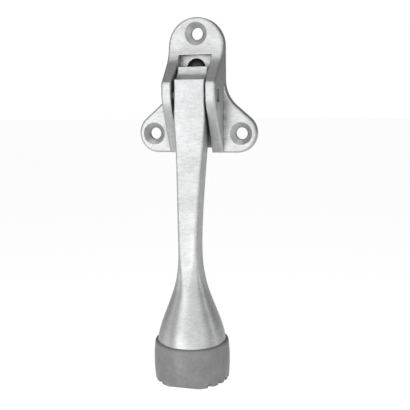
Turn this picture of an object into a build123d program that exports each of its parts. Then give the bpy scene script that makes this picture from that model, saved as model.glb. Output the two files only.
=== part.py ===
"""Floor door holder: a cast bracket that screws to the foot of a door, and a hinged lever with a rubber tip.

Millimetres. +Z is up, the door's face is the plane Y = 0, and the holder stands out from it towards -Y.
The origin is on the door's face, midway between the two lower screw holes. The lever hangs straight down.
"""

import os
from math import cos, radians, sin, sqrt, tan

from build123d import *

# How far a cut runs past the surface it opens
OVERCUT = 1.0

# Bracket plate
PLATE_THICKNESS = 4.4
EDGE_RADIUS = 1.1
DRAFT_ANGLE = 2.6
EAR_RADIUS = 9.3
EAR_CENTRE_X = 19.2
EAR_CENTRE_Z = 0.2
EAR_FLANK_ANGLE = 49.0
LOBE_RADIUS = 13.3
LOBE_CENTRE_Z = 40.2
NECK_RADIUS = 16.0

# Screw holes for countersunk wood screws
HOLE_SPACING = 42.2
TOP_HOLE_Z = 46.0
HOLE_RADIUS = 2.8
COUNTERSINK_RADIUS = 5.3
COUNTERSINK_DEPTH = 2.3

# Cheeks and the channel between them
CHANNEL_HALF_WIDTH = 7.5
CHANNEL_DRAFT = 1.7
CHANNEL_TOP_Z = 36.4
CHANNEL_FLOOR_Y = -3.6
WEB_BOTTOM_Z = -6.6
CREST_HEIGHT = 15.8
CREST_TOP_Z = 23.2
CREST_BEND_Z = 14.5
CREST_SLOPE_TOP_Z = 36.6
CREST_FOOT_RISE = 0.5
CREST_ROOT_RADIUS = 14
CREST_ROOT_TOP_Z = 43.6
CREST_CORNER_RADIUS = 2.0
CREST_BEND_RADIUS = 14.0
INNER_EDGE_RADIUS = 0.5

# Hinge
PIVOT_Y = -14.2
PIVOT_Z = 17.6
PIN_RADIUS = 2.4
PIN_HALF_LENGTH = 11.9
PIN_RECESS_RADIUS = 3.1
PIN_RECESS_START_X = 11.6
PIN_CHAMFER = 0.3
PIN_RUNNING_CLEARANCE = 0.06
HEEL_RADIUS = 13.8
HEEL_CLEARANCE = 0.3
KNUCKLE_RADIUS = 9.4
WEB_OPENING_HALF_HEIGHT = 7.0

# Spring detent above the lever's head
BUTTON_Z = 30.3
BUTTON_RADIUS = 4.3
BUTTON_DOME_RADIUS = 5.0
BUTTON_NOSE_Y = -4.9
BUTTON_FLANGE_RADIUS = 5.0
BUTTON_FLANGE_THICKNESS = 0.6
BUTTON_CAVITY_RADIUS = 2.9
BUTTON_CAVITY_Y = -3.2
SLIDE_CLEARANCE = 0.1
CAP_THICKNESS = 0.9
SPRING_WIRE_RADIUS = 0.3
SPRING_COIL_RADIUS = 2.3
SPRING_TURNS = 3.0
SPRING_END_GAP = 0.02

# Lever
HEAD_HALF_WIDTH = 7.2
BROW_Y = -17.5
BROW_Z = 24.9
SCOOP_Y = -12.9
SCOOP_Z = 26.6
HEEL_FRONT_Y = -10.6
HEEL_FRONT_Z = 30.9
HEEL_BACK_Y = -9.0
HEEL_BACK_Z = 30.2
KNUCKLE_TOP_ANGLE = 32.0
KNUCKLE_LOW_ANGLE = -45.0
ARM_TOP_Z = 7.0
ARM_TOP_FRONT_Y = -18.5
ARM_TOP_HALF_DEPTH = 5.3
ARM_TAPER_POWER = 1.4
ARM_TOP_CORNER = 0.7
WAIST_Z = -50.0
WAIST_Y = -18.7
WAIST_HALF_WIDTH = 4.55
WAIST_HALF_DEPTH = 6.0
TIP_Y = -18.3
BELL_RADIUS = 16.0
BELL_RIM_Z = -95.7
BELL_CURL = 0.92
BELL_POWER = 1.27
WAIST_CORNER_SHARE = 0.33
RIM_CORNER_SHARE = 0.985
ROUND_BY = 0.5
UPPER_STEPS = 12
LOWER_STEPS = 16
SPIGOT_RADIUS = 15.7
SPIGOT_LENGTH = 6.0

# Rubber tip and its screw
TIP_RADIUS = 17.9
TIP_LIP_RADIUS = 17.4
TIP_LIP_ROUNDING = 0.9
TIP_WIDEST_BELOW_RIM = 9.0
TIP_FOOT_RADIUS = 17.4
TIP_BOTTOM_Z = -114.0
TREAD_PITCH = 4.2
TREAD_GROOVE = 2.0
TREAD_DEPTH = 1.8
SCREW_RADIUS = 2.4
SCREW_HEAD_RADIUS = 4.2
SCREW_HEAD_HEIGHT = 2.6
SCREW_HEAD_ROUNDING = 1.2
SCREW_SLOT_WIDTH = 1.0
SCREW_SLOT_DEPTH = 1.2
SCREW_GRIP = 9.0
SCREW_SEAT_Z = -107.0
WASHER_RADIUS = 5.0
WASHER_THICKNESS = 1.0


def along_x(radius, half_length, y, z):
    """A cylinder lying along X, centred on the plane X = 0."""
    return Plane(origin=(-half_length, y, z), z_dir=(1, 0, 0)) * Cylinder(
        radius, 2 * half_length, align=(Align.CENTER, Align.CENTER, Align.MIN)
    )


def from_door(radius, x, z, y_start, y_end, end_radius=None):
    """A cylinder or cone whose axis stands out from the door, from y_start to the smaller y_end."""
    place = Plane(origin=(x, y_start, z), x_dir=(1, 0, 0), z_dir=(0, -1, 0))
    base = (Align.CENTER, Align.CENTER, Align.MIN)
    if end_radius is None:
        return place * Cylinder(radius, y_start - y_end, align=base)
    return place * Cone(radius, end_radius, y_start - y_end, align=base)


def upright(radius, low, high):
    """An upright cylinder on the tip's axis, from height low to height high."""
    return Pos(0, TIP_Y, low) * Cylinder(radius, high - low, align=(Align.CENTER, Align.CENTER, Align.MIN))


def box_between(low, high):
    """A box from its lowest corner to its highest."""
    size = [b - a for a, b in zip(low, high)]
    return Pos(*low) * Box(*size, align=(Align.MIN, Align.MIN, Align.MIN))


def base_outline():
    """The plate's outline: two round ears, a hollow neck on each side and a round lobe on top."""
    turn = radians(EAR_FLANK_ANGLE)
    ear = Vector(EAR_CENTRE_X, EAR_CENTRE_Z)
    flank = ear + Vector(cos(turn), sin(turn)) * EAR_RADIUS
    corner_z = flank.Y + (flank.X - LOBE_RADIUS) * cos(turn) / sin(turn)
    with BuildSketch(Plane.XZ) as outline:
        with BuildLine():
            Line((0, EAR_CENTRE_Z - EAR_RADIUS), (ear.X, ear.Y - EAR_RADIUS))
            ThreePointArc((ear.X, ear.Y - EAR_RADIUS), (ear.X + EAR_RADIUS, ear.Y), (flank.X, flank.Y))
            FilletPolyline(
                (flank.X, flank.Y), (LOBE_RADIUS, corner_z), (LOBE_RADIUS, LOBE_CENTRE_Z), radius=NECK_RADIUS
            )
            lobe_side = LOBE_RADIUS * sin(radians(45))
            ThreePointArc(
                (LOBE_RADIUS, LOBE_CENTRE_Z),
                (lobe_side, LOBE_CENTRE_Z + lobe_side),
                (0, LOBE_CENTRE_Z + LOBE_RADIUS),
            )
            mirror(about=Plane.YZ)
        make_face()
    return outline.sketch


def crest_profile():
    """The cheeks' side view: a hollow slope up from the lobe, a flat crest, and a long fall to the foot."""
    front = -PLATE_THICKNESS
    crest = front - CREST_HEIGHT
    foot_z = EAR_CENTRE_Z - EAR_RADIUS
    corners = [
        (front, CREST_ROOT_TOP_Z),
        (front, CREST_SLOPE_TOP_Z),
        (crest, CREST_TOP_Z),
        (crest, CREST_BEND_Z),
        (front - CREST_FOOT_RISE, foot_z),
    ]
    radii = [CREST_ROOT_RADIUS, CREST_CORNER_RADIUS, CREST_BEND_RADIUS]
    with BuildSketch(Plane.YZ) as profile:
        with BuildLine():
            FilletPolyline(*corners, radius=radii)
            Polyline(corners[-1], (0, foot_z), (0, CREST_ROOT_TOP_Z), corners[0])
        make_face()
    return profile.sketch


def channel_half_width(y):
    """Half the channel's width at depth y: it opens a little towards the front."""
    return CHANNEL_HALF_WIDTH + (CHANNEL_FLOOR_Y - y) * tan(radians(CHANNEL_DRAFT))


def cheek():
    """The right-hand cheek, leaning in outside and out inside by the casting's draft, its edges eased."""
    reach = 2 * (LOBE_CENTRE_Z + LOBE_RADIUS)
    deep = PLATE_THICKNESS + CREST_HEIGHT + OVERCUT
    lean = tan(radians(DRAFT_ANGLE))
    section = make_face(
        Polyline(
            (channel_half_width(0), 0),
            (LOBE_RADIUS, 0),
            (LOBE_RADIUS - lean * deep, -deep),
            (channel_half_width(-deep), -deep),
            close=True,
        )
    )
    solid = extrude(crest_profile(), LOBE_RADIUS + OVERCUT) & extrude(Pos(0, 0, -reach / 2) * section, reach)
    solid &= extrude(base_outline(), deep, taper=DRAFT_ANGLE)
    split_x = channel_half_width(-deep) + INNER_EDGE_RADIUS
    solid = fillet([e for e in solid.edges() if along_crest(e) and e.center().X > split_x], EDGE_RADIUS)
    return fillet([e for e in solid.edges() if along_crest(e) and e.center().X < split_x], INNER_EDGE_RADIUS)


def along_crest(edge):
    """Whether a cheek's edge runs along its front, and not across it or down its back."""
    size = edge.bounding_box().size
    return size.Z > size.X and edge.center().Y < -PLATE_THICKNESS + 0.001


def bridge():
    """The slope carried across between the cheeks, above the channel."""
    half_width = channel_half_width(-PLATE_THICKNESS) + 2 * INNER_EDGE_RADIUS
    whole = extrude(crest_profile(), half_width, both=True)
    return whole & box_between(
        (-half_width, -PLATE_THICKNESS - CREST_HEIGHT, CHANNEL_TOP_Z), (half_width, 0, CREST_ROOT_TOP_Z)
    )


def mounting_bracket():
    """The casting that screws to the door, with its channel, pivot hole and detent pocket."""
    plate = extrude(base_outline(), PLATE_THICKNESS, taper=DRAFT_ANGLE)
    plate = fillet(plate.faces().sort_by(Axis.Y)[0].edges(), EDGE_RADIUS)
    right = cheek()
    body = plate + right + mirror(right, about=Plane.YZ) + bridge()

    body -= channel()
    body -= along_x(PIN_RADIUS, LOBE_RADIUS, PIVOT_Y, PIVOT_Z)
    recess = along_x(PIN_RECESS_RADIUS, LOBE_RADIUS, PIVOT_Y, PIVOT_Z)
    body -= recess - along_x(PIN_RECESS_RADIUS, PIN_RECESS_START_X, PIVOT_Y, PIVOT_Z)

    for x, z in ((-HOLE_SPACING / 2, 0), (HOLE_SPACING / 2, 0), (0, TOP_HOLE_Z)):
        body -= from_door(HOLE_RADIUS, x, z, OVERCUT, -PLATE_THICKNESS - OVERCUT)
        body -= from_door(
            HOLE_RADIUS, x, z, COUNTERSINK_DEPTH - PLATE_THICKNESS, -PLATE_THICKNESS, COUNTERSINK_RADIUS
        )
        body -= from_door(COUNTERSINK_RADIUS, x, z, -PLATE_THICKNESS, -PLATE_THICKNESS - OVERCUT)

    body -= from_door(BUTTON_RADIUS + SLIDE_CLEARANCE, 0, BUTTON_Z, OVERCUT, CHANNEL_FLOOR_Y - OVERCUT)
    body -= from_door(BUTTON_FLANGE_RADIUS + SLIDE_CLEARANCE, 0, BUTTON_Z, OVERCUT, button_flange_front())
    return body


def channel():
    """The space between the cheeks: a floor, a slot below it, and room for the lever's heel and knuckle."""
    wide = LOBE_RADIUS
    low_z = EAR_CENTRE_Z - EAR_RADIUS - OVERCUT
    front_y = -PLATE_THICKNESS - CREST_HEIGHT - OVERCUT
    reach = box_between((-wide, front_y, low_z), (wide, CHANNEL_FLOOR_Y, CHANNEL_TOP_Z))
    reach += box_between((-wide, front_y, low_z), (wide, OVERCUT, WEB_BOTTOM_Z))
    reach += along_x(HEEL_RADIUS + HEEL_CLEARANCE, wide, PIVOT_Y, PIVOT_Z)
    reach += box_between(
        (-wide, front_y, PIVOT_Z - WEB_OPENING_HALF_HEIGHT),
        (wide, OVERCUT, PIVOT_Z + WEB_OPENING_HALF_HEIGHT),
    )
    back, front = channel_half_width(OVERCUT), channel_half_width(front_y)
    section = make_face(
        Polyline((-back, OVERCUT), (back, OVERCUT), (front, front_y), (-front, front_y), close=True)
    )
    return reach & extrude(Pos(0, 0, low_z) * section, CHANNEL_TOP_Z - low_z)


def button_flange_front():
    """Where the detent's dome meets its flange."""
    drop = BUTTON_DOME_RADIUS - sqrt(BUTTON_DOME_RADIUS**2 - BUTTON_RADIUS**2)
    return BUTTON_NOSE_Y + drop


def detent_button():
    """A domed button with a flange that keeps it in its pocket and a hollow back for the spring."""
    front = button_flange_front()
    back = front + BUTTON_FLANGE_THICKNESS
    dome = Pos(0, BUTTON_NOSE_Y + BUTTON_DOME_RADIUS, BUTTON_Z) * Sphere(BUTTON_DOME_RADIUS)
    dome &= from_door(BUTTON_RADIUS, 0, BUTTON_Z, front, BUTTON_NOSE_Y - OVERCUT)
    button = dome + from_door(BUTTON_FLANGE_RADIUS, 0, BUTTON_Z, back, front)
    return button - from_door(BUTTON_CAVITY_RADIUS, 0, BUTTON_Z, back + OVERCUT, BUTTON_CAVITY_Y)


def spring_cap():
    """The disc pressed into the back of the detent pocket, flush with the plate."""
    return from_door(BUTTON_FLANGE_RADIUS + SLIDE_CLEARANCE, 0, BUTTON_Z, 0, -CAP_THICKNESS)


def detent_spring():
    """The round-wire coil spring between the cap and the button."""
    start = -CAP_THICKNESS - SPRING_WIRE_RADIUS - SPRING_END_GAP
    end = BUTTON_CAVITY_Y + SPRING_WIRE_RADIUS + SPRING_END_GAP
    height = start - end
    coil = Helix(height / SPRING_TURNS, height, SPRING_COIL_RADIUS)
    wire = sweep(Plane(coil @ 0, z_dir=coil % 0) * Circle(SPRING_WIRE_RADIUS), path=coil, is_frenet=True)
    return Plane(origin=(0, start, BUTTON_Z), x_dir=(1, 0, 0), z_dir=(0, -1, 0)) * wire


def pivot_pin():
    """The hinge pin, driven into both cheeks with its ends just below their faces."""
    pin = along_x(PIN_RADIUS, PIN_HALF_LENGTH, PIVOT_Y, PIVOT_Z)
    return chamfer(pin.edges().filter_by(GeomType.CIRCLE), PIN_CHAMFER)


def head_profile():
    """The lever head's side view: flat front, scooped top, heel towards the door and round knuckle."""
    on_knuckle = [
        (PIVOT_Y + KNUCKLE_RADIUS * cos(radians(turn)), PIVOT_Z + KNUCKLE_RADIUS * sin(radians(turn)))
        for turn in (KNUCKLE_TOP_ANGLE, 0, KNUCKLE_LOW_ANGLE)
    ]
    brow = (BROW_Y, BROW_Z)
    heel_front = (HEEL_FRONT_Y, HEEL_FRONT_Z)
    heel_back = (HEEL_BACK_Y, HEEL_BACK_Z)
    with BuildSketch(Plane.YZ) as profile:
        with BuildLine():
            Line((ARM_TOP_FRONT_Y, ARM_TOP_Z), brow)
            ThreePointArc(brow, (SCOOP_Y, SCOOP_Z), heel_front)
            Line(heel_front, heel_back)
            Line(heel_back, on_knuckle[0])
            ThreePointArc(*on_knuckle)
            Polyline(
                on_knuckle[2],
                (ARM_TOP_FRONT_Y + 2 * ARM_TOP_HALF_DEPTH, ARM_TOP_Z),
                (ARM_TOP_FRONT_Y, ARM_TOP_Z),
            )
        make_face()
    return profile.sketch


def smoothstep(t):
    """An even S-shaped rise from 0 at t = 0 to 1 at t = 1."""
    return t * t * (3 - 2 * t)


def arm_section(z):
    """The arm's level section at height z: a rounded rectangle that turns into the bell's circle."""
    if z > WAIST_Z:
        down = (ARM_TOP_Z - z) / (ARM_TOP_Z - WAIST_Z)
        half_width = WAIST_HALF_WIDTH + (HEAD_HALF_WIDTH - WAIST_HALF_WIDTH) * (1 - down) ** ARM_TAPER_POWER
        half_depth = ARM_TOP_HALF_DEPTH + (WAIST_HALF_DEPTH - ARM_TOP_HALF_DEPTH) * down
        top_middle = ARM_TOP_FRONT_Y + ARM_TOP_HALF_DEPTH
        middle = top_middle + (WAIST_Y - top_middle) * smoothstep(down)
        corner = ARM_TOP_CORNER * (1 + down)
    else:
        down = (WAIST_Z - z) / (WAIST_Z - BELL_RIM_Z)
        flare = smoothstep(BELL_CURL * down**BELL_POWER) / smoothstep(BELL_CURL)
        half_width = WAIST_HALF_WIDTH + (BELL_RADIUS - WAIST_HALF_WIDTH) * flare
        half_depth = WAIST_HALF_DEPTH + (BELL_RADIUS - WAIST_HALF_DEPTH) * flare
        middle = WAIST_Y + (TIP_Y - WAIST_Y) * smoothstep(down)
        rounding = smoothstep(min(down / ROUND_BY, 1))
        corner_share = WAIST_CORNER_SHARE + (RIM_CORNER_SHARE - WAIST_CORNER_SHARE) * rounding
        corner = corner_share * min(half_width, half_depth)
    return Pos(0, middle, z) * RectangleRounded(2 * half_width, 2 * half_depth, corner)


def lever_arm():
    """The lever: a flat-faced head, an arm that tapers to a waist, and a round bell for the tip."""
    head = extrude(head_profile(), HEAD_HALF_WIDTH, both=True)
    upper = [ARM_TOP_Z + (WAIST_Z - ARM_TOP_Z) * i / UPPER_STEPS for i in range(UPPER_STEPS)]
    lower = [WAIST_Z + (BELL_RIM_Z - WAIST_Z) * i / LOWER_STEPS for i in range(LOWER_STEPS + 1)]
    arm = loft([arm_section(z) for z in upper + lower], ruled=True)
    spigot = upright(SPIGOT_RADIUS, BELL_RIM_Z - SPIGOT_LENGTH, BELL_RIM_Z)
    lever = head + arm + spigot
    lever -= along_x(PIN_RADIUS + PIN_RUNNING_CLEARANCE, HEAD_HALF_WIDTH + OVERCUT, PIVOT_Y, PIVOT_Z)
    return lever - screw_shank()


def screw_shank():
    """The tip screw's shank, from its seat up into the bell."""
    return upright(SCREW_RADIUS, SCREW_SEAT_Z, BELL_RIM_Z - SPIGOT_LENGTH + SCREW_GRIP)


def rubber_tip():
    """The rubber cup on the bell, with a rounded lip and parallel tread ribs across its underside."""
    floor_z = BELL_RIM_Z - SPIGOT_LENGTH
    socket = SPIGOT_RADIUS
    lip = TIP_LIP_ROUNDING
    with BuildSketch(Plane.XZ) as half:
        with BuildLine():
            Line((0, floor_z), (socket, floor_z))
            Polyline((socket, floor_z), (socket, BELL_RIM_Z), (TIP_LIP_RADIUS - lip, BELL_RIM_Z))
            RadiusArc((TIP_LIP_RADIUS - lip, BELL_RIM_Z), (TIP_LIP_RADIUS, BELL_RIM_Z - lip), lip)
            ThreePointArc(
                (TIP_LIP_RADIUS, BELL_RIM_Z - lip),
                (TIP_RADIUS, BELL_RIM_Z - TIP_WIDEST_BELOW_RIM),
                (TIP_FOOT_RADIUS, TIP_BOTTOM_Z),
            )
            Polyline((TIP_FOOT_RADIUS, TIP_BOTTOM_Z), (0, TIP_BOTTOM_Z), (0, floor_z))
        make_face()
    tip = Pos(0, TIP_Y, 0) * revolve(half.sketch, Axis.Z)
    grooves = int(TIP_RADIUS / TREAD_PITCH)
    for step in range(-grooves, grooves + 1):
        y = TIP_Y + step * TREAD_PITCH
        tip -= box_between(
            (-TIP_RADIUS - OVERCUT, y - TREAD_GROOVE / 2, TIP_BOTTOM_Z - OVERCUT),
            (TIP_RADIUS + OVERCUT, y + TREAD_GROOVE / 2, TIP_BOTTOM_Z + TREAD_DEPTH),
        )
    tip -= upright(WASHER_RADIUS, TIP_BOTTOM_Z - OVERCUT, SCREW_SEAT_Z)
    return tip - screw_shank()


def tip_washer():
    """The steel washer that spreads the screw's load on the rubber."""
    low = SCREW_SEAT_Z - WASHER_THICKNESS
    ring = upright(WASHER_RADIUS, low, SCREW_SEAT_Z)
    return ring - upright(SCREW_RADIUS, low - OVERCUT, SCREW_SEAT_Z + OVERCUT)


def tip_screw():
    """The screw that holds the rubber tip and its washer to the bell."""
    seat = SCREW_SEAT_Z - WASHER_THICKNESS
    shank = upright(SCREW_RADIUS, seat, BELL_RIM_Z - SPIGOT_LENGTH + SCREW_GRIP)
    head = upright(SCREW_HEAD_RADIUS, seat - SCREW_HEAD_HEIGHT, seat)
    head = fillet(head.edges().sort_by(Axis.Z)[0], SCREW_HEAD_ROUNDING)
    slot = box_between(
        (-SCREW_HEAD_RADIUS, TIP_Y - SCREW_SLOT_WIDTH / 2, seat - SCREW_HEAD_HEIGHT - OVERCUT),
        (SCREW_HEAD_RADIUS, TIP_Y + SCREW_SLOT_WIDTH / 2, seat - SCREW_HEAD_HEIGHT + SCREW_SLOT_DEPTH),
    )
    return shank + head - slot


NODES = {
    "mounting_bracket": mounting_bracket,
    "pivot_pin": pivot_pin,
    "detent_button": detent_button,
    "detent_spring": detent_spring,
    "spring_cap": spring_cap,
    "lever_arm": lever_arm,
    "rubber_tip": rubber_tip,
    "tip_washer": tip_washer,
    "tip_screw": tip_screw,
}

os.makedirs("parts", exist_ok=True)
for name, make in NODES.items():
    export_step(make(), f"parts/{name}.step")
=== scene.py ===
"""Looks of the floor door holder on its fixed CAD frame.

The castings are satin-brushed, the tip is moulded rubber and the rest is plain steel. Shapes are
worked out in millimetres and stored in metres, in the model's own frame: +Z is up, the door's face
is the plane Y = 0 and the holder stands out from it towards -Y.
"""

import math

import bmesh
import bpy
import numpy as np
from mathutils import Matrix, Vector


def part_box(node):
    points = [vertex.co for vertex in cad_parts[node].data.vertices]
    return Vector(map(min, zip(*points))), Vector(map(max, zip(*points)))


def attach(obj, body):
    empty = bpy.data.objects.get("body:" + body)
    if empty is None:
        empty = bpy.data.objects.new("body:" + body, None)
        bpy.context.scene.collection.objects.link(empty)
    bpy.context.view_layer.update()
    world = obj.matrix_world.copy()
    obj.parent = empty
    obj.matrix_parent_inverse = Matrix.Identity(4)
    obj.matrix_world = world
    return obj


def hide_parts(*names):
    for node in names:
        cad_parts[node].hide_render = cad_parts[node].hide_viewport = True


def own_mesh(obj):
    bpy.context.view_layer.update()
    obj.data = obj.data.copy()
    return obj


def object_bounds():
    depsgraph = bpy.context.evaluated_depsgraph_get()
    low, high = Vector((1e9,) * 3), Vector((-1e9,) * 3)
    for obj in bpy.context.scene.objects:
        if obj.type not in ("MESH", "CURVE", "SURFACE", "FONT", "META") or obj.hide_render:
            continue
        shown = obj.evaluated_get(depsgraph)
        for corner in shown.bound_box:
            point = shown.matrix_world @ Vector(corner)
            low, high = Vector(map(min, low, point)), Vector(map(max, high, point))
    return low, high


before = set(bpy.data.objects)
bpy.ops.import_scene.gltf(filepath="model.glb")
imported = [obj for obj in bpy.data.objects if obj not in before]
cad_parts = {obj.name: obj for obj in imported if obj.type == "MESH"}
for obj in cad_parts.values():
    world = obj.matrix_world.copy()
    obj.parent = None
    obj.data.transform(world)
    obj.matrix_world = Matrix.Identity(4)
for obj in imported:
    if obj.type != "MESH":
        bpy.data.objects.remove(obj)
cad_box = [list(corner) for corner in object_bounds()]

MM = 0.001
HALF_IN_MM = 500.0
LEVER_LOW, LEVER_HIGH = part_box("lever_arm")
TIP_LOW, TIP_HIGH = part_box("rubber_tip")

# The lever, in millimetres. Points are (y, z).
PIVOT = np.array([-14.2, 17.6])
HEAD_HALF_WIDTH = 7.2
HEEL_BACK = np.array([-9.0, 30.2])
HEEL_FRONT = np.array([-10.6, 30.9])
SCOOP = np.array([-12.9, 26.6])
BROW = np.array([-17.5, 24.9])
KNUCKLE_RADIUS = 9.4
KNUCKLE_TURN = (32.0, -45.0)
ARM_TOP_Z = 7.0
ARM_TOP_FRONT_Y = -18.5
ARM_TOP_HALF_DEPTH = 5.3
ARM_TAPER_POWER = 1.4
WAIST = np.array([-18.7, -50.0])
WAIST_HALF_WIDTH = 4.55
WAIST_HALF_DEPTH = 6.0
BELL_CURL = 0.92
BELL_POWER = 1.27
EDGE_ROUNDING = 0.7
EDGE_ROUNDING_GAIN = 0.8
BROW_ROUNDING = 0.5
TOP_ROUNDING = 0.4

# Corner radii as shares of the half width or of the whole thickness, and how far down the bell
# they have grown to a full round
WAIST_CORNER_SHARE = 0.33
CORNER_SHARE_GAIN = 0.655
ROUND_BY = 0.5
THIN_CORNER_SHARE = 0.45

# The rubber tip, in millimetres
TIP_Y = HALF_IN_MM * (TIP_LOW.y + TIP_HIGH.y)
RIM_Z = TIP_HIGH.z / MM
SPIGOT_LOW_Z = LEVER_LOW.z / MM
BELL_RADIUS = HALF_IN_MM * (LEVER_HIGH.x - LEVER_LOW.x)
SPIGOT_RADIUS = 15.7
TIP_BOTTOM_Z = TIP_LOW.z / MM
TIP_RADIUS = HALF_IN_MM * (TIP_HIGH.x - TIP_LOW.x) - 0.02
TREAD_PITCH = 4.2
TREAD_GROOVE = 2.0
TREAD_DEPTH = 1.8
RIBS_PER_SIDE = 4
SCREW_RADIUS = 2.4
SCREW_POCKET_RADIUS = 5.0
SCREW_SEAT_Z = -107.0
LIP_RADIUS = 17.4
LIP_ROUNDING = 0.9
WIDEST_BELOW_RIM = 9.0
FOOT_RADIUS = 17.4
RIB_ROOT = 0.3
RIB_EASE = 0.2

# The detent's spring, in millimetres
SPRING_LOW, SPRING_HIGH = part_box("detent_spring")
BUTTON_Z = HALF_IN_MM * (SPRING_LOW.z + SPRING_HIGH.z)
SPRING_WIRE_RADIUS = 0.3
SPRING_COIL_RADIUS = 2.3
SPRING_TURNS = 3
SPRING_BACK_Y = SPRING_HIGH.y / MM - SPRING_WIRE_RADIUS
SPRING_FRONT_Y = SPRING_LOW.y / MM + SPRING_WIRE_RADIUS

# How many points or rings each line and surface has
POINTS_PER_CORNER = 33
POINTS_PER_CIRCLE = 144
ARC_POINTS = 25
HALF_HEAD_RINGS = 26
BROW_RINGS = 6
ARM_RINGS = 48
BELL_RINGS = 90
TOP_EDGE_RINGS = 4
LIP_POINTS = 9
TIP_SIDE_POINTS = 40
RIB_EASE_RINGS = 5
RIB_END_POINTS = 9
RINGS_PER_TURN = 48
WIRE_POINTS = 14


def smoothstep(t):
    """An even S-shaped rise: three t squared less two t cubed."""
    return t * t * (3 - 2 * t)


def quarter_turn(count):
    """Evenly spaced angles from nothing to a right angle."""
    return np.linspace(0, math.pi / 2, count)


def arc_through(start, middle, end, count):
    """Points along the circle through three points: its centre is equally far from all of them."""
    rows = 2 * np.array([middle - start, end - start])
    squares = [middle @ middle - start @ start, end @ end - start @ start]
    centre = np.linalg.solve(rows, squares)
    first, through, last = (math.atan2(*(p - centre)[::-1]) for p in (start, middle, end))
    sweep = (last - first) % (2 * math.pi)
    if (through - first) % (2 * math.pi) > sweep:
        sweep -= 2 * math.pi
    turn = first + sweep * np.linspace(0, 1, count)
    radius = np.linalg.norm(start - centre)
    return centre + radius * np.stack([np.cos(turn), np.sin(turn)], axis=-1)


def eased_corner(before, corner, after, size, count):
    """Points that round a corner: a parabola tangent to both of its sides, size away from it."""
    start = corner + size * (before - corner) / np.linalg.norm(before - corner)
    end = corner + size * (after - corner) / np.linalg.norm(after - corner)
    t = np.linspace(0, 1, count)[:, None]
    return (1 - t) ** 2 * start + 2 * t * (1 - t) * corner + t**2 * end


def spread(line, count):
    """The same line with evenly spaced points."""
    steps = np.linalg.norm(np.diff(line, axis=0), axis=1)
    along = np.concatenate([[0], np.cumsum(steps)])
    even = np.linspace(0, along[-1], count)
    return np.stack([np.interp(even, along, line[:, k]) for k in range(2)], axis=-1)


def rounded_rings(front, back, half_width, corner):
    """Rings round the lever: each is a rectangle with round corners.

    A ring lies in the plane of X and its own front-to-back line. front and back hold one (y, z)
    point per ring. A corner is a quarter circle of that ring's corner radius.
    """
    middle = (front + back) / 2
    half = (back - front) / 2
    half_depth = np.linalg.norm(half, axis=1)
    inward = half / half_depth[:, None]
    turn = quarter_turn(POINTS_PER_CORNER)
    quarter = np.concatenate([turn + k * math.pi / 2 for k in range(4)])
    side_x = np.repeat([1, -1, -1, 1], POINTS_PER_CORNER)
    side_y = np.repeat([1, 1, -1, -1], POINTS_PER_CORNER)
    corner = corner[:, None]
    across = side_x * (half_width[:, None] - corner) + corner * np.cos(quarter)
    deep = side_y * (half_depth[:, None] - corner) + corner * np.sin(quarter)
    y = middle[:, :1] + deep * inward[:, :1]
    z = middle[:, 1:] + deep * inward[:, 1:]
    return np.stack([across, y, z], axis=-1)


def circle_rings(profile, centre_y):
    """Rings about an upright axis: one level circle for each (radius, z) point of the profile."""
    turn = np.linspace(0, 2 * math.pi, POINTS_PER_CIRCLE, endpoint=False)
    radius, z = profile[:, :1], profile[:, 1:]
    x, y = radius * np.cos(turn), centre_y + radius * np.sin(turn)
    return np.stack([x, y, np.broadcast_to(z, x.shape)], axis=-1)


def shell(rings, joined=False):
    """The points and faces of one closed shell: quads between neighbouring rings.

    The ends are flat faces, unless the last ring is joined to the first.
    """
    rows, columns = rings.shape[:2]
    here = np.arange(rows * columns).reshape(rows, columns)
    ahead = np.roll(here, -1, axis=0) if joined else here[1:]
    start = here if joined else here[:-1]
    corners = [start, np.roll(start, -1, axis=1), np.roll(ahead, -1, axis=1), ahead]
    faces = np.stack(corners, axis=-1).reshape(-1, 4).tolist()
    if not joined:
        faces += [here[0, ::-1].tolist(), here[-1].tolist()]
    return rings.reshape(-1, 3), faces


def piece(name, shells, body, material, stands_for, sharp_angle):
    """A finished piece from closed shells, riding on its body.

    Its faces point outward and are shaded smooth where they meet at less than the sharp angle.
    """
    points, faces, count = [], [], 0
    for own_points, own_faces in shells:
        points.append(own_points)
        faces += [[count + index for index in face] for face in own_faces]
        count += len(own_points)
    mesh = bpy.data.meshes.new(name)
    mesh.from_pydata((np.concatenate(points) * MM).tolist(), [], faces)
    work = bmesh.new()
    work.from_mesh(mesh)
    bmesh.ops.recalc_face_normals(work, faces=work.faces)
    work.to_mesh(mesh)
    work.free()
    mesh.shade_smooth()
    mesh.set_sharp_from_angle(angle=math.radians(sharp_angle))
    mesh.materials.append(material)
    made = bpy.data.objects.new(name, mesh)
    bpy.context.scene.collection.objects.link(made)
    made.modifiers.new("even_normals", "WEIGHTED_NORMAL").keep_sharp = True
    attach(made, body)
    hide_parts(stands_for)
    return made


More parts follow.
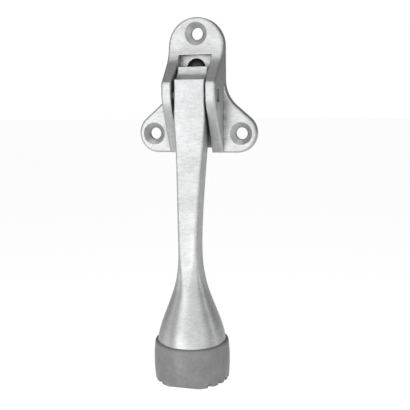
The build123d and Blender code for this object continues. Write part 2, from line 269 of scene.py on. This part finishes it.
def head_sides():
    """The head's front and back lines, top to bottom, as matched (y, z) points.

    The front runs from the heel down the scoop's arc, over the brow and down the flat. The back
    runs from the heel to the knuckle's circle, round it and on to the arm.
    """
    scoop = arc_through(HEEL_FRONT, SCOOP, BROW, ARC_POINTS)
    arm_front = np.array([ARM_TOP_FRONT_Y, ARM_TOP_Z])
    brow = eased_corner(scoop[-2], BROW, arm_front, BROW_ROUNDING, BROW_RINGS)
    scoop_front = spread(scoop[:-2], HALF_HEAD_RINGS - BROW_RINGS)
    flat = spread(np.stack([brow[-1], arm_front]), HALF_HEAD_RINGS)[1:]
    turn = np.radians(np.linspace(*KNUCKLE_TURN, ARC_POINTS))
    knuckle = PIVOT + KNUCKLE_RADIUS * np.stack([np.cos(turn), np.sin(turn)], axis=-1)
    arm_back = np.array([ARM_TOP_FRONT_Y + 2 * ARM_TOP_HALF_DEPTH, ARM_TOP_Z])
    top_back = spread(np.stack([HEEL_BACK, knuckle[0]]), HALF_HEAD_RINGS)
    round_back = spread(np.concatenate([knuckle, arm_back[None]]), HALF_HEAD_RINGS)[1:]
    front = np.concatenate([scoop_front, brow, flat])
    back = np.concatenate([top_back, round_back])
    return front[:-1], back[:-1]


def arm_rings():
    """The arm from the head to the bell's rim.

    Above the waist the width's excess over the waist falls as a power of the way left to go, the
    depth changes evenly, the middle follows an S-shaped rise and the corners grow evenly. Below
    it, width and depth follow another such rise to the rim's radius, while each corner's share
    of the half width grows until the ring is nearly a full circle.
    """
    top_middle = ARM_TOP_FRONT_Y + ARM_TOP_HALF_DEPTH
    down = np.linspace(0, 1, ARM_RINGS)
    taper = (1 - down) ** ARM_TAPER_POWER
    upper = dict(
        z=ARM_TOP_Z + (WAIST[1] - ARM_TOP_Z) * down,
        width=WAIST_HALF_WIDTH + (HEAD_HALF_WIDTH - WAIST_HALF_WIDTH) * taper,
        depth=ARM_TOP_HALF_DEPTH + (WAIST_HALF_DEPTH - ARM_TOP_HALF_DEPTH) * down,
        middle=top_middle + (WAIST[0] - top_middle) * smoothstep(down),
        corner=EDGE_ROUNDING + EDGE_ROUNDING_GAIN * down,
    )
    down = np.linspace(0, 1, BELL_RINGS)[1:]
    flare = smoothstep(BELL_CURL * down**BELL_POWER) / smoothstep(BELL_CURL)
    width = WAIST_HALF_WIDTH + (BELL_RADIUS - WAIST_HALF_WIDTH) * flare
    depth = WAIST_HALF_DEPTH + (BELL_RADIUS - WAIST_HALF_DEPTH) * flare
    rounding = smoothstep(np.minimum(down / ROUND_BY, 1))
    lower = dict(
        z=WAIST[1] + (RIM_Z - WAIST[1]) * down,
        width=width,
        depth=depth,
        middle=WAIST[0] + (TIP_Y - WAIST[0]) * smoothstep(down),
        corner=(WAIST_CORNER_SHARE + CORNER_SHARE_GAIN * rounding) * np.minimum(width, depth),
    )
    both = {key: np.concatenate([upper[key], lower[key]]) for key in upper}
    front = np.stack([both["middle"] - both["depth"], both["z"]], axis=-1)
    back = np.stack([both["middle"] + both["depth"], both["z"]], axis=-1)
    return rounded_rings(front, back, both["width"], both["corner"])


def lever_rings():
    """All of the lever's rings: the head, the arm and bell, and the spigot inside the rubber."""
    front, back = head_sides()
    thickness = np.linalg.norm(back - front, axis=1)
    corner = np.minimum(EDGE_ROUNDING, THIN_CORNER_SHARE * thickness)
    head = rounded_rings(front, back, np.full(len(front), HEAD_HALF_WIDTH), corner)
    arm = arm_rings()
    spigot_z = np.array([RIM_Z, SPIGOT_LOW_Z])[:, None, None]
    spigot = arm[-1:] * [1, 1, 0] + [0, 0, 1] * spigot_z
    shrink = SPIGOT_RADIUS / BELL_RADIUS
    spigot[:, :, 0] *= shrink
    spigot[:, :, 1] = TIP_Y + shrink * (spigot[:, :, 1] - TIP_Y)
    return np.concatenate([head, arm, spigot])


def lever():
    """The lever as one closed shell, with its top edge eased by a quarter circle."""
    rings = lever_rings()
    top = rings[0]
    middle = (top.max(axis=0) + top.min(axis=0)) / 2
    size = np.ptp(top, axis=0) / 2
    eased = []
    for angle in quarter_turn(TOP_EDGE_RINGS + 1)[:-1]:
        inset = TOP_ROUNDING * (1 - math.sin(angle))
        shrunk = middle + (top - middle) * (1 - inset / size)
        eased.append(shrunk - [0, 0, TOP_ROUNDING * (1 - math.cos(angle))])
    sunk = rings[0] - [0, 0, TOP_ROUNDING]
    return shell(np.concatenate([np.array(eased), sunk[None], rings[1:]]))


def tip_outline():
    """The rubber's outer side from lip to foot, as two runs of (radius, z) points.

    The lip is a quarter circle. The side is one shallow arc through its widest point.
    """
    turn = quarter_turn(LIP_POINTS)[::-1]
    lip = np.stack([np.cos(turn), np.sin(turn)], axis=-1) * LIP_ROUNDING
    lip += [LIP_RADIUS - LIP_ROUNDING, RIM_Z - LIP_ROUNDING]
    widest = np.array([TIP_RADIUS, RIM_Z - WIDEST_BELOW_RIM])
    foot = np.array([FOOT_RADIUS, TIP_BOTTOM_Z])
    return lip, arc_through(lip[-1], widest, foot, TIP_SIDE_POINTS)


def tip_cup():
    """The rubber cup, as one closed outline carried round its axis.

    The outline takes the socket's floor and wall, the lip, the outer side, the floor between the
    ribs and the screw's pocket.
    """
    lip, side = tip_outline()
    tread_floor = TIP_BOTTOM_Z + TREAD_DEPTH
    side = side[side[:, 1] > tread_floor]
    socket = [[SCREW_RADIUS, SPIGOT_LOW_Z], [SPIGOT_RADIUS, SPIGOT_LOW_Z], [SPIGOT_RADIUS, RIM_Z]]
    under = [[side[-1, 0], tread_floor], [SCREW_POCKET_RADIUS, tread_floor]]
    pocket = [[SCREW_POCKET_RADIUS, SCREW_SEAT_Z], [SCREW_RADIUS, SCREW_SEAT_Z]]
    profile = np.concatenate([socket, lip, side[1:], under, pocket])
    return shell(circle_rings(profile, TIP_Y), joined=True)


def tread_rib(near, far, inner=None):
    """One tread rib, running along X between two lines of constant y.

    Its ends follow the cup's own circle: x is the square root of radius squared less y squared.
    A rib beside the screw starts at the pocket's circle. The lowest edges are eased by a quarter
    circle.
    """
    _, side = tip_outline()
    turn = quarter_turn(RIB_EASE_RINGS)
    root_z = TIP_BOTTOM_Z + TREAD_DEPTH + RIB_ROOT
    z = np.concatenate([[root_z], TIP_BOTTOM_Z + RIB_EASE * (1 - np.sin(turn))])
    inset = np.concatenate([[0], RIB_EASE * (1 - np.cos(turn))])[:, None]
    radius = np.interp(z, side[::-1, 1], side[::-1, 0])[:, None]
    y = near + inset + (far - near - 2 * inset) * np.linspace(0, 1, RIB_END_POINTS)
    outer = np.sqrt((radius - inset) ** 2 - y**2)
    start = -outer if inner is None else np.sqrt((inner + inset) ** 2 - y**2)
    x = np.concatenate([outer, start[:, ::-1]], axis=1)
    y = np.concatenate([y, y[:, ::-1]], axis=1)
    return np.stack([x, TIP_Y + y, np.broadcast_to(z[:, None], x.shape)], axis=-1)


def tread():
    """All the ribs. The grooves lie one pitch apart with one on the axis; ribs fill the gaps."""
    centre = [0, TIP_Y, 0]
    shells = []
    for step in range(RIBS_PER_SIDE):
        near = step * TREAD_PITCH + TREAD_GROOVE / 2
        far = near + TREAD_PITCH - TREAD_GROOVE
        split = near < SCREW_POCKET_RADIUS
        rib = tread_rib(near, far, SCREW_POCKET_RADIUS if split else None)
        for flip in ([1, 1, 1], [1, -1, 1]):
            mirrored = (rib - centre) * flip + centre
            shells.append(shell(mirrored))
            if split:
                shells.append(shell(mirrored * [-1, 1, 1]))
    return shells


def coil():
    """The detent's spring: a round wire carried along a helix about the button's axis.

    The helix moves evenly along Y as it turns. The wire's circle lies across its path, in the
    plane of the outward direction and the direction square to both that and the path.
    """
    rings = RINGS_PER_TURN * SPRING_TURNS + 1
    turn = np.linspace(0, 2 * math.pi * SPRING_TURNS, rings)[:, None]
    flat = np.zeros_like(turn)
    outward = np.concatenate([np.cos(turn), flat, np.sin(turn)], axis=1)
    path = SPRING_COIL_RADIUS * outward + [0, 0, BUTTON_Z]
    path[:, 1] = np.linspace(SPRING_BACK_Y, SPRING_FRONT_Y, rings)
    climb = flat + (SPRING_FRONT_Y - SPRING_BACK_Y) / turn[-1, 0]
    sideways, upward = -SPRING_COIL_RADIUS * np.sin(turn), SPRING_COIL_RADIUS * np.cos(turn)
    ahead = np.concatenate([sideways, climb, upward], axis=1)
    ahead /= np.linalg.norm(ahead, axis=1, keepdims=True)
    across = np.cross(ahead, outward)
    around = np.linspace(0, 2 * math.pi, WIRE_POINTS, endpoint=False)[:, None]
    circle = np.cos(around) * outward[:, None] + np.sin(around) * across[:, None]
    return shell(path[:, None] + SPRING_WIRE_RADIUS * circle)


# The Mix node's sockets by number, since its colour and number sockets share their names
MIX_SHARE = 0
MIX_NUMBERS = (2, 3)
MIX_COLOURS = (6, 7)
MIXED_COLOUR = 2


def fill(tree, socket, value):
    """Gives an input a number, a colour or a link from another node's output socket."""
    if isinstance(value, bpy.types.NodeSocket):
        tree.links.new(value, socket)
    else:
        socket.default_value = value


def put(tree, kind, inputs=None, **settings):
    """One shader node with its settings and inputs."""
    made = tree.nodes.new("ShaderNode" + kind)
    for name, value in settings.items():
        setattr(made, name, value)
    for key, value in (inputs or {}).items():
        fill(tree, made.inputs[key], value)
    return made


def maths(tree, operation, first, second):
    """One sum, product or other operation on two numbers."""
    return put(tree, "Math", {0: first, 1: second}, operation=operation).outputs[0]


def ramp(tree, value, low, high, to_low=0.0, to_high=1.0):
    """A straight rescale of a value between two limits, held at its ends."""
    limits = {"From Min": low, "From Max": high, "To Min": to_low, "To Max": to_high}
    return put(tree, "MapRange", {"Value": value, **limits}).outputs["Result"]


def blend_colour(tree, share, first, second, blend_type="MIX"):
    """Two colours mixed by a share."""
    made = put(tree, "Mix", data_type="RGBA", blend_type=blend_type)
    for index, value in zip((MIX_SHARE, *MIX_COLOURS), (share, first, second)):
        fill(tree, made.inputs[index], value)
    return made.outputs[MIXED_COLOUR]


def blend_number(tree, share, first, second):
    """Two numbers mixed by a share."""
    inputs = dict(zip((MIX_SHARE, *MIX_NUMBERS), (share, first, second)))
    return put(tree, "Mix", inputs, data_type="FLOAT").outputs[0]


def effect(name, inputs, outputs, directions=()):
    """An empty shared effect with its named sockets; gives its tree, its inputs and its outputs."""
    tree = bpy.data.node_groups.new(name, "ShaderNodeTree")
    new_socket = tree.interface.new_socket
    for socket, value in inputs.items():
        kind = "NodeSocketVector" if isinstance(value, tuple) else "NodeSocketFloat"
        new_socket(name=socket, in_out="INPUT", socket_type=kind).default_value = value
    for socket in outputs:
        new_socket(name=socket, in_out="OUTPUT", socket_type="NodeSocketFloat")
    for socket in directions:
        new_socket(name=socket, in_out="OUTPUT", socket_type="NodeSocketVector")
    given = tree.nodes.new("NodeGroupInput").outputs
    gives = tree.nodes.new("NodeGroupOutput").inputs
    return tree, given, gives


def noise(tree, where, scale, detail, roughness=0.55):
    """Smooth random values about a half."""
    inputs = {"Vector": where, "Scale": scale, "Detail": detail, "Roughness": roughness}
    return put(tree, "TexNoise", inputs).outputs["Fac"]


def make_grain():
    """Grain: pits from the mould or the blast, and softer clouds of tone millimetres across.

    The relief is six tenths fine pits and four tenths pits three times as wide.
    """
    tree, given, gives = effect(
        "surface_grain",
        {"Stretch": (1.0, 1.0, 1.0), "Pits Per Metre": 2600.0, "Clouds Per Metre": 130.0},
        ("Height", "Clouds"),
    )
    where = put(tree, "TexCoord").outputs["Object"]
    stretched = put(tree, "VectorMath", {0: where, 1: given["Stretch"]}, operation="MULTIPLY")
    along = stretched.outputs[0]
    fine = noise(tree, along, given["Pits Per Metre"], 3.0, 0.6)
    coarse_scale = maths(tree, "MULTIPLY", given["Pits Per Metre"], 0.33)
    coarse = noise(tree, along, coarse_scale, 2.0)
    fine_part = maths(tree, "MULTIPLY", fine, 0.6)
    coarse_part = maths(tree, "MULTIPLY", coarse, 0.4)
    clouds = noise(tree, where, given["Clouds Per Metre"], 5.0, 0.6)
    tree.links.new(maths(tree, "ADD", fine_part, coarse_part), gives["Height"])
    tree.links.new(ramp(tree, clouds, 0.35, 0.65), gives["Clouds"])
    return tree


def make_edge_wear_and_highlight():
    """Edge wear, broken up by patches; its lighter colour is also a painted highlight along the
    edges.

    There is an edge wherever the rounded-over normal leaves the real one.
    """
    tree, given, gives = effect(
        "edge_wear_and_highlight", {"Reach": 0.0005, "Patches Per Metre": 420.0}, ("Mask",), ("Rounded Normal",)
    )
    rounded = put(tree, "Bevel", {"Radius": given["Reach"]}, samples=6).outputs[0]
    true = put(tree, "NewGeometry").outputs["Normal"]
    alike = put(tree, "VectorMath", {0: rounded, 1: true}, operation="DOT_PRODUCT")
    edge = ramp(tree, alike.outputs["Value"], 0.995, 0.9)
    where = put(tree, "TexCoord").outputs["Object"]
    patches = ramp(tree, noise(tree, where, given["Patches Per Metre"], 3.0), 0.38, 0.6, 0.35)
    tree.links.new(maths(tree, "MULTIPLY", edge, patches), gives["Mask"])
    tree.links.new(rounded, gives["Rounded Normal"])
    return tree


def make_dust_and_painted_shade():
    """Dust and grime, and painted shade: a patchy darkening of the corners that the open air hardly
    reaches, where shade falls.
    """
    tree, given, gives = effect(
        "dust_and_painted_shade", {"Reach": 0.006, "Patches Per Metre": 260.0}, ("Mask",)
    )
    openness = put(tree, "AmbientOcclusion", {"Distance": given["Reach"]}, samples=6)
    corner = ramp(tree, openness.outputs["AO"], 0.85, 0.4)
    where = put(tree, "TexCoord").outputs["Object"]
    patches = ramp(tree, noise(tree, where, given["Patches Per Metre"], 4.0), 0.35, 0.65, 0.4)
    tree.links.new(maths(tree, "MULTIPLY", corner, patches), gives["Mask"])
    return tree


GRAIN, EDGE_WEAR_AND_HIGHLIGHT, DUST_AND_PAINTED_SHADE = make_grain(), make_edge_wear_and_highlight(), make_dust_and_painted_shade()
# How strongly the worn colour, wear and painted highlight together, lightens the edges
WEAR_AND_HIGHLIGHT_SHOWS = 0.8
# How strongly the dusty colour, grime and painted shade together, covers the corners
DUST_AND_SHADE_SHOWS = 0.9
SPECKLE = (0.84, 1.1)


def grey(level, warmth=0.0):
    """A grey as a colour, a touch warmer or cooler."""
    return (level * (1 + warmth), level, level * (1 - warmth), 1.0)


def finish_of(name, greys, rough, metallic, grain, depth, **uniform):
    """A finish with clouds of tone, lighter edges that are wear and painted highlight, darker
    corners that are grime and painted shade, and grain in its relief.

    greys are the colours and rough the roughnesses of the plain, the clouded, the worn and highlit,
    and the dusty and shaded surface. grain sets the shared grain's inputs, and depth is its relief
    in metres.
    """
    plain, clouded, worn_and_highlit, dusty_and_shaded = greys
    material = bpy.data.materials.new(name)
    material.use_nodes = True
    tree = material.node_tree
    surface = tree.nodes["Principled BSDF"]
    surface.inputs["Metallic"].default_value = metallic
    for socket, value in uniform.items():
        surface.inputs[socket.replace("_", " ")].default_value = value
    grained = put(tree, "Group", node_tree=GRAIN)
    edges = put(tree, "Group", node_tree=EDGE_WEAR_AND_HIGHLIGHT)
    for socket, value in grain.items():
        grained.inputs[socket].default_value = value
    clouds, height = grained.outputs["Clouds"], grained.outputs["Height"]
    wear_and_highlight = edges.outputs["Mask"]
    dust_and_shade = put(tree, "Group", node_tree=DUST_AND_PAINTED_SHADE).outputs["Mask"]
    speckle = ramp(tree, height, 0.35, 0.65, *SPECKLE)
    speckle_grey = put(tree, "CombineColor", {0: speckle, 1: speckle, 2: speckle}).outputs[0]
    colour = blend_colour(tree, clouds, plain, clouded)
    colour = blend_colour(tree, 1.0, colour, speckle_grey, "MULTIPLY")
    # Painted highlight and wear: the light worn colour laid along the edges
    colour = blend_colour(tree, maths(tree, "MULTIPLY", wear_and_highlight, WEAR_AND_HIGHLIGHT_SHOWS), colour, worn_and_highlit)
    # Painted shade and grime: the dark dusty colour laid over the corners
    colour = blend_colour(tree, maths(tree, "MULTIPLY", dust_and_shade, DUST_AND_SHADE_SHOWS), colour, dusty_and_shaded)
    tree.links.new(colour, surface.inputs["Base Color"])
    roughness = ramp(tree, clouds, 0.0, 1.0, rough[0], rough[1])
    for mask, level in ((wear_and_highlight, rough[2]), (dust_and_shade, rough[3])):
        roughness = blend_number(tree, mask, roughness, level)
    tree.links.new(roughness, surface.inputs["Roughness"])
    bump = {"Distance": depth, "Height": height, "Normal": edges.outputs["Rounded Normal"]}
    relief = put(tree, "Bump", {"Strength": 1.0, **bump}).outputs[0]
    tree.links.new(relief, surface.inputs["Normal"])
    return material


# A finish's third grey lightens its edges, as wear and as painted highlight; its fourth darkens its
# corners, as grime and as painted shade
satin_casting = finish_of(
    "satin_casting",
    greys=(grey(0.59, -0.008), grey(0.52, -0.006), grey(0.8), grey(0.1, 0.02)),
    rough=(0.36, 0.42, 0.26, 0.6),
    metallic=1.0,
    grain={"Stretch": (0.3, 0.3, 1.0), "Pits Per Metre": 2600.0, "Clouds Per Metre": 120.0},
    depth=0.000012,
)
moulded_rubber = finish_of(
    "moulded_rubber",
    greys=(grey(0.22), grey(0.18), grey(0.3), grey(0.1, 0.02)),
    rough=(0.32, 0.38, 0.42, 0.7),
    metallic=0.0,
    grain={"Pits Per Metre": 1800.0, "Clouds Per Metre": 170.0},
    depth=0.00002,
    Specular_IOR_Level=0.8,
)
plated_steel = finish_of(
    "plated_steel",
    greys=(grey(0.55), grey(0.5, 0.01), grey(0.7), grey(0.25, 0.03)),
    rough=(0.3, 0.36, 0.24, 0.6),
    metallic=1.0,
    grain={"Pits Per Metre": 5000.0, "Clouds Per Metre": 400.0},
    depth=0.000004,
)
blackened_steel = finish_of(
    "blackened_steel",
    greys=(grey(0.03), grey(0.045), grey(0.2), grey(0.09, 0.03)),
    rough=(0.34, 0.42, 0.28, 0.6),
    metallic=0.85,
    grain={"Pits Per Metre": 4200.0, "Clouds Per Metre": 300.0},
    depth=0.000004,
)
spring_wire = finish_of(
    "spring_wire",
    greys=(grey(0.18), grey(0.15), grey(0.32), grey(0.1, 0.03)),
    rough=(0.3, 0.36, 0.26, 0.6),
    metallic=1.0,
    grain={"Pits Per Metre": 6000.0, "Clouds Per Metre": 600.0},
    depth=0.000003,
)

CAD_FINISHES = {
    "mounting_bracket": satin_casting,
    "pivot_pin": plated_steel,
    "detent_button": blackened_steel,
    "spring_cap": plated_steel,
    "tip_washer": plated_steel,
    "tip_screw": plated_steel,
}
for node_name, finish in CAD_FINISHES.items():
    for material_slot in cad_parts[node_name].material_slots:
        material_slot.material = finish

piece("lever_casting", [lever()], "lever", satin_casting, "lever_arm", 32.0)
piece("rubber_boot", [tip_cup(), *tread()], "lever", moulded_rubber, "rubber_tip", 40.0)
spring = piece(
    "spring_coil", [coil()], "bracket", spring_wire, "detent_spring", 60.0
)
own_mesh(spring)

# The camera and the stage, in metres and degrees. A pair is an azimuth and an elevation.
TARGET = Vector((0.0, -0.015, -0.039))
UP = Vector((0, 0, 1))
CAMERA_STANDS = (15.0, 10.27)
CAMERA_DISTANCE = 0.3046
CAMERA_BACK = (13.85, 9.07)
CAMERA_ROLL = -0.61
FLOOR_BELOW = 0.45
FLOOR_HALF = 20.0

# Brightness as light on the holder, and as the camera sees it
AIR_GLOW = (0.21, 1.0)
FLOOR_GLOW = (0.48, 0.84)


def pointing(back, up):
    """A camera's or light's turn from the direction behind it and its own up."""
    right = up.cross(back).normalized()
    return Matrix((right, back.cross(right), back)).transposed().to_4x4()


def heading(azimuth, elevation):
    """The direction from the object at an azimuth round it and an elevation above it."""
    turn, rise = math.radians(azimuth), math.radians(elevation)
    level = math.cos(rise)
    return Vector((math.sin(turn) * level, -math.cos(turn) * level, math.sin(rise)))


def place_camera():
    """The camera, standing at one heading and looking back along another, with a slight roll."""
    data = bpy.data.cameras.new("camera")
    data.sensor_width = 36.0
    data.lens = 57.4
    data.clip_start = 0.01
    data.clip_end = 50.0
    camera = bpy.data.objects.new("camera", data)
    bpy.context.scene.collection.objects.link(camera)
    back = heading(*CAMERA_BACK)
    level = Vector((-back.y, back.x, 0.0)).normalized()
    roll = math.radians(CAMERA_ROLL)
    upright = back.cross(level) * math.cos(roll) - level * math.sin(roll)
    stands = Matrix.Translation(TARGET + heading(*CAMERA_STANDS) * CAMERA_DISTANCE)
    camera.matrix_world = stands @ pointing(back, upright)
    bpy.context.scene.camera = camera


def softbox(name, azimuth, elevation, distance, width, height, watts):
    """A rectangular soft light that faces the object."""
    data = bpy.data.lights.new(name, "AREA")
    data.shape = "RECTANGLE"
    data.size, data.size_y, data.energy = width, height, watts
    light = bpy.data.objects.new(name, data)
    bpy.context.scene.collection.objects.link(light)
    away = heading(azimuth, elevation)
    light.matrix_world = Matrix.Translation(TARGET + away * distance) @ pointing(away, UP)


def light_air():
    """Even white air all round."""
    world = bpy.data.worlds.new("studio")
    bpy.context.scene.world = world
    world.use_nodes = True
    air = world.node_tree
    air.nodes.clear()
    seen = put(air, "LightPath").outputs["Is Camera Ray"]
    strength = ramp(air, seen, 0.0, 1.0, *AIR_GLOW)
    glow = put(air, "Background", {"Color": grey(1.0), "Strength": strength})
    air.links.new(glow.outputs[0], put(air, "OutputWorld").inputs["Surface"])


def lay_floor():
    """One pale square, well below the holder."""
    paint = bpy.data.materials.new("pale_floor")
    paint.use_nodes = True
    tree = paint.node_tree
    surface = tree.nodes["Principled BSDF"]
    surface.inputs["Base Color"].default_value = grey(0.6)
    surface.inputs["Roughness"].default_value = 0.9
    surface.inputs["Emission Color"].default_value = grey(1.0)
    seen = put(tree, "LightPath").outputs["Is Camera Ray"]
    glow = ramp(tree, seen, 0.0, 1.0, *FLOOR_GLOW)
    tree.links.new(glow, surface.inputs["Emission Strength"])
    z = cad_box[0][2] - FLOOR_BELOW
    sides = ((-1, -1), (1, -1), (1, 1), (-1, 1))
    mesh = bpy.data.meshes.new("floor")
    mesh.from_pydata([(FLOOR_HALF * x, FLOOR_HALF * y, z) for x, y in sides], [], [(0, 1, 2, 3)])
    mesh.materials.append(paint)
    floor = bpy.data.objects.new("floor", mesh)
    bpy.context.scene.collection.objects.link(floor)


place_camera()
softbox("front_softbox", -4.0, 8.0, 0.9, 1.5, 1.3, 5.3)
softbox("key_strip", -24.0, 4.0, 0.85, 0.4, 1.4, 1.4)
softbox("left_softbox", -78.0, 12.0, 0.9, 0.5, 1.0, 0.9)
softbox("right_softbox", 54.0, 12.0, 0.9, 0.5, 1.0, 1.5)
softbox("upper_softbox", -10.0, 64.0, 0.9, 1.2, 0.6, 2.4)
softbox("right_strip", 100.0, 10.0, 0.8, 0.1, 0.8, 0.5)
light_air()
lay_floor()
bpy.context.scene.view_settings.view_transform = "Standard"
